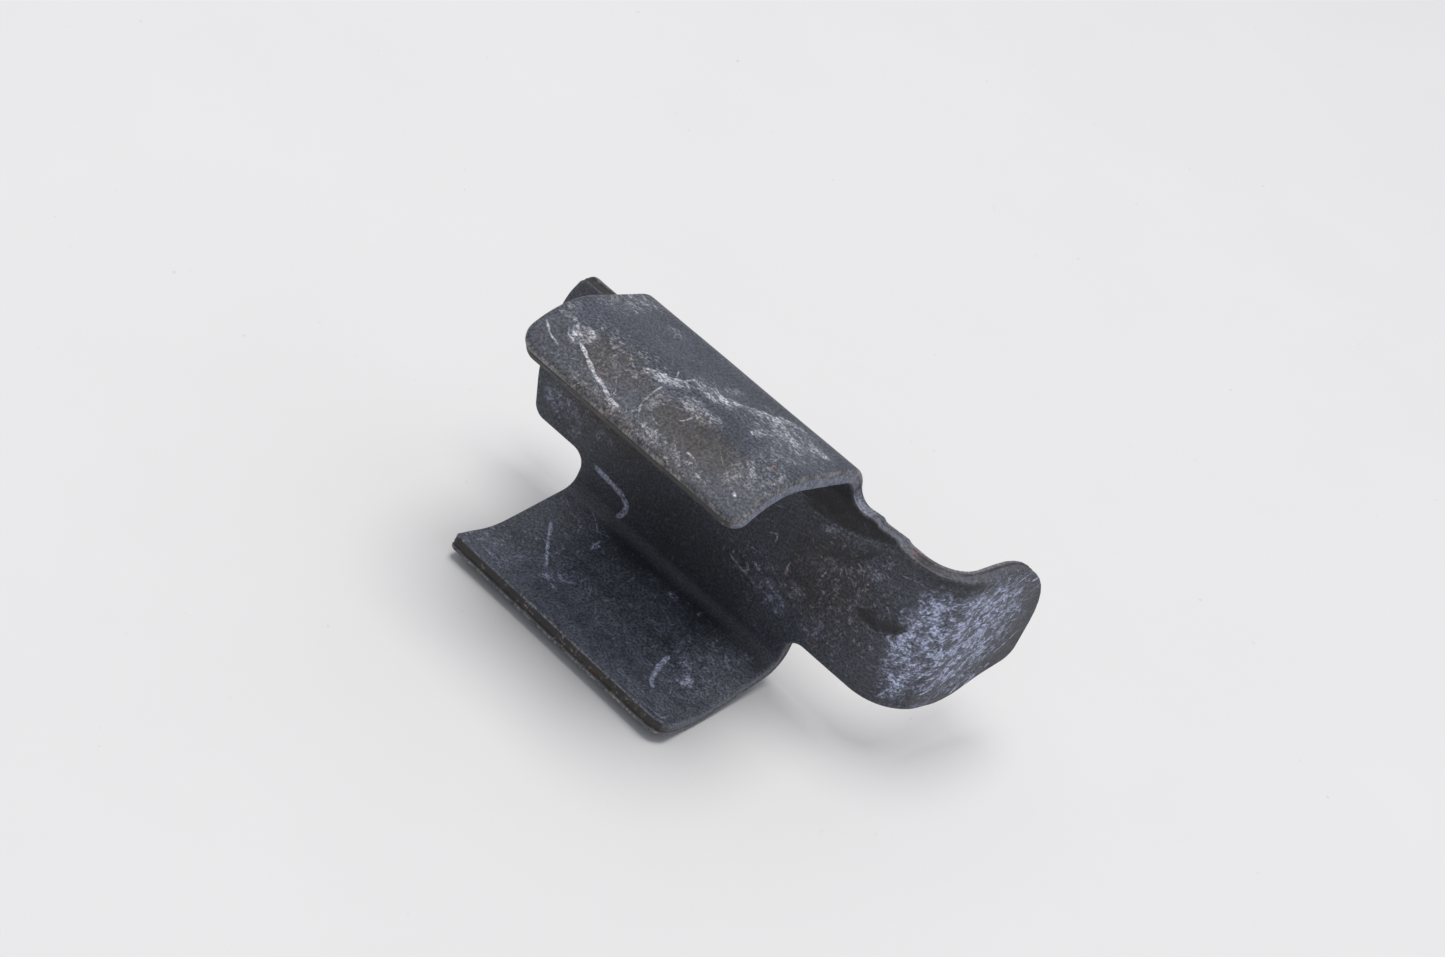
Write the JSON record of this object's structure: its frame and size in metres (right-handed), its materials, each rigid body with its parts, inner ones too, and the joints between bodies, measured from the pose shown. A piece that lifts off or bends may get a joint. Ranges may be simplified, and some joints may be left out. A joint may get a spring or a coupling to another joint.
{
  "type": "spring clip",
  "caption": "C-shaped spring-steel channel clip bent from one sheet, with a flat ear on one side and a backward-bent finger tab on the other.",
  "frame": {"origin": "centre of the web's flat back face, midway along the channel and midway up the ear and tab", "axes": "+X runs along the channel towards the long bent tab, +Y points out of the web's back face (the jaws open towards -Y), +Z points from the lower jaw to the upper jaw"},
  "size_m": [0.0312, 0.0222, 0.0187],
  "materials": {
    "phosphated_steel": "matte black phosphate on spring steel, chalky scuffs on the high spots"
  },
  "bodies": {
    "frame": {"web": "phosphated_steel", "left_ear": "phosphated_steel", "right_tab": "phosphated_steel"},
    "upper_jaw": {"upper_jaw": "phosphated_steel"},
    "lower_jaw": {"lower_jaw": "phosphated_steel"}
  },
  "joints": [
    {"name": "upper_jaw_flex", "type": "hinge", "parent": "frame", "child": "upper_jaw", "pos_m": [0, -0.0005, 0.00435], "axis": [-1, 0, 0], "range_deg": [0, 4], "stiffness_Nm_per_rad": 50},
    {"name": "lower_jaw_flex", "type": "hinge", "parent": "frame", "child": "lower_jaw", "pos_m": [0, -0.0005, -0.00635], "axis": [1, 0, 0], "range_deg": [0, 4], "stiffness_Nm_per_rad": 50}
  ]
}
